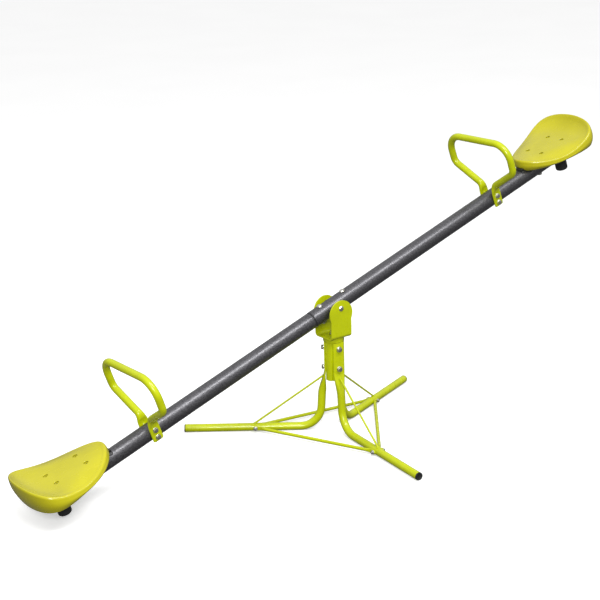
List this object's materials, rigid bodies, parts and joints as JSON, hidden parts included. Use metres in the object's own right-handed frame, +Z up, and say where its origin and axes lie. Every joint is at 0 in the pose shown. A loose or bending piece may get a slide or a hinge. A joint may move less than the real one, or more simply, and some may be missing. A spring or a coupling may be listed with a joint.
{
  "type": "swivel seesaw",
  "caption": "Children's garden seesaw: tubular tripod stand, swivelling head, tilting beam with loop handles, shaped plastic seats and end bumpers.",
  "frame": {"origin": "middle of the whole object's footprint, on the floor it stands on", "axes": "+X along the beam towards its raised end, +Y across it to the back, +Z up"},
  "size_m": [2.1067, 0.7548, 0.84],
  "materials": {
    "lime_powder_coat": "glossy lime green powder coat with a light orange-peel",
    "yellow_green_plastic": "moulded plastic with a satin gloss",
    "hammered_grey_paint": "dark grey metallic hammered paint",
    "black_plastic": "black moulded plastic, fine texture",
    "black_rubber": "black rubber, matt",
    "zinc_plate": "bright zinc plated steel",
    "dark_nylon": "dark nylon, satin"
  },
  "bodies": {
    "stand": {"center_post": "lime_powder_coat", "post_cap": "lime_powder_coat", "leg_a": "lime_powder_coat", "leg_b": "lime_powder_coat", "leg_c": "lime_powder_coat", "leg_plug_a": "black_plastic", "leg_plug_b": "black_plastic", "leg_plug_c": "black_plastic", "stay_a": "lime_powder_coat", "stay_b": "lime_powder_coat", "stay_c": "lime_powder_coat", "brace_ab": "lime_powder_coat", "brace_bc": "lime_powder_coat", "brace_ca": "lime_powder_coat", "brace_bolt_a": "zinc_plate", "brace_bolt_b": "zinc_plate", "brace_bolt_c": "zinc_plate", "post_bolt_a_upper": "zinc_plate", "post_bolt_a_lower": "zinc_plate", "post_bolt_b_upper": "zinc_plate", "post_bolt_b_lower": "zinc_plate", "post_bolt_c_upper": "zinc_plate", "post_bolt_c_lower": "zinc_plate", "king_pin": "zinc_plate", "king_nut": "zinc_plate"},
    "head": {"swivel_bracket": "lime_powder_coat", "pivot_bolt": "zinc_plate", "pivot_nut": "zinc_plate"},
    "beam": {"pivot_spacer_front": "dark_nylon", "pivot_spacer_back": "dark_nylon", "beam_tube_low": "hammered_grey_paint", "beam_plug_low": "black_plastic", "joint_bolt_low": "zinc_plate", "handle_low": "lime_powder_coat", "handle_bolt_low_upper": "zinc_plate", "handle_bolt_low_lower": "zinc_plate", "seat_low": "yellow_green_plastic", "saddle_low": "black_plastic", "saddle_bolt_low": "zinc_plate", "bumper_low": "black_rubber", "bumper_bolt_low": "zinc_plate", "seat_bolt_low_1": "zinc_plate", "seat_bolt_low_2": "zinc_plate", "seat_bolt_low_3": "zinc_plate", "seat_bolt_low_4": "zinc_plate", "beam_tube_high": "hammered_grey_paint", "beam_plug_high": "black_plastic", "joint_bolt_high": "zinc_plate", "handle_high": "lime_powder_coat", "handle_bolt_high_upper": "zinc_plate", "handle_bolt_high_lower": "zinc_plate", "seat_high": "yellow_green_plastic", "saddle_high": "black_plastic", "saddle_bolt_high": "zinc_plate", "bumper_high": "black_rubber", "bumper_bolt_high": "zinc_plate", "seat_bolt_high_1": "zinc_plate", "seat_bolt_high_2": "zinc_plate", "seat_bolt_high_3": "zinc_plate", "seat_bolt_high_4": "zinc_plate"}
  },
  "joints": [
    {"name": "swivel", "type": "hinge", "parent": "stand", "child": "head", "pos_m": [0.02, 0.082, 0.308], "axis": [0, 0, 1], "continuous": true},
    {"name": "tilt", "type": "hinge", "parent": "head", "child": "beam", "pos_m": [0.02, 0.082, 0.395], "axis": [0, 1, 0], "range_deg": [0, 38]}
  ]
}
